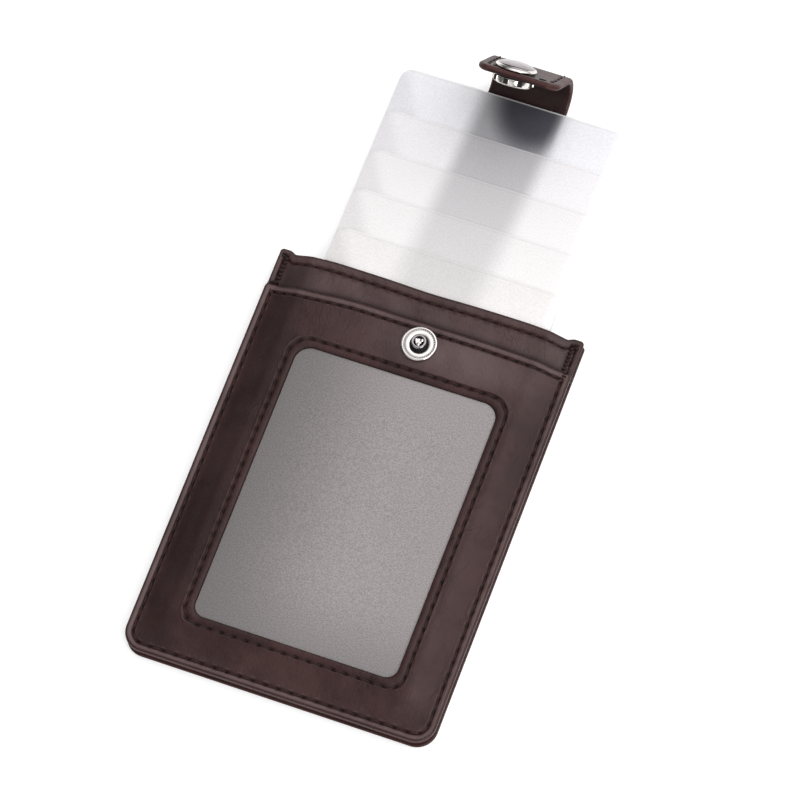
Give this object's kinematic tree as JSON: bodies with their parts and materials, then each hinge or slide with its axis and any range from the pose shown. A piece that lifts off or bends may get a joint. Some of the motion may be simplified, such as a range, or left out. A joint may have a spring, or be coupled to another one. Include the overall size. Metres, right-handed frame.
{
  "type": "slim card wallet",
  "caption": "Leather card case with a window, stepped film sleeves that slide out on a pull strap, and a curled strap tip that folds over and snaps shut.",
  "frame": {"origin": "centre of the case's back face, which the wallet rests on", "axes": "+X across the case to its right as seen from the front, +Y along it towards the open mouth and the pull strap, +Z out of its front"},
  "size_m": [0.08, 0.173, 0.0257],
  "materials": {
    "case_leather": "dark reddish brown, smooth and glossy, with fine creases",
    "strap_leather": "dark reddish brown with painted edges",
    "lining_cloth": "matte dark brown woven lining",
    "sleeve_film": "frosted translucent film",
    "window_film": "frosted grey translucent film",
    "thread": "dark brown twisted thread",
    "polished_nickel": "polished nickel plate"
  },
  "bodies": {
    "case": {"back_panel": "case_leather", "back_lining": "lining_cloth", "edge_welt": "case_leather", "inner_panel": "case_leather", "window_panel": "case_leather", "window_film": "window_film", "bar_tack_left": "thread", "bar_tack_right": "thread", "snap_stud": "polished_nickel", "stud_eyelet": "polished_nickel"},
    "pull": {"strap_run": "strap_leather", "sleeve_1_back": "sleeve_film", "sleeve_1_front": "sleeve_film"},
    "second_sleeve": {"sleeve_2_back": "sleeve_film", "sleeve_2_front": "sleeve_film"},
    "third_sleeve": {"sleeve_3_back": "sleeve_film", "sleeve_3_front": "sleeve_film"},
    "fourth_sleeve": {"sleeve_4_back": "sleeve_film", "sleeve_4_front": "sleeve_film"},
    "fifth_sleeve": {"sleeve_5_back": "sleeve_film", "sleeve_5_front": "sleeve_film"},
    "tip": {"strap_tip_outer": "strap_leather", "strap_tip_lining": "strap_leather", "snap_cap": "polished_nickel", "snap_socket": "polished_nickel"}
  },
  "joints": [
    {"name": "pull_slide", "type": "slide", "parent": "case", "child": "pull", "axis": [0, 1, 0], "range_m": [-0.0561, 0]},
    {"name": "second_sleeve_slide", "type": "slide", "parent": "case", "child": "second_sleeve", "axis": [0, 1, 0], "range_m": [-0.0438, 0]},
    {"name": "third_sleeve_slide", "type": "slide", "parent": "case", "child": "third_sleeve", "axis": [0, 1, 0], "range_m": [-0.0324, 0]},
    {"name": "fourth_sleeve_slide", "type": "slide", "parent": "case", "child": "fourth_sleeve", "axis": [0, 1, 0], "range_m": [-0.021, 0]},
    {"name": "fifth_sleeve_slide", "type": "slide", "parent": "case", "child": "fifth_sleeve", "axis": [0, 1, 0], "range_m": [-0.0096, 0]},
    {"name": "tip_fold", "type": "hinge", "parent": "pull", "child": "tip", "pos_m": [0.0042, 0.1119, 0.00215], "axis": [1, 0, 0], "range_deg": [-30, 56.6]}
  ],
  "couplings": [
    {"joint": "second_sleeve_slide", "follows": "pull_slide", "ratio": 0.7807},
    {"joint": "third_sleeve_slide", "follows": "pull_slide", "ratio": 0.5775},
    {"joint": "fourth_sleeve_slide", "follows": "pull_slide", "ratio": 0.3743},
    {"joint": "fifth_sleeve_slide", "follows": "pull_slide", "ratio": 0.1711}
  ]
}
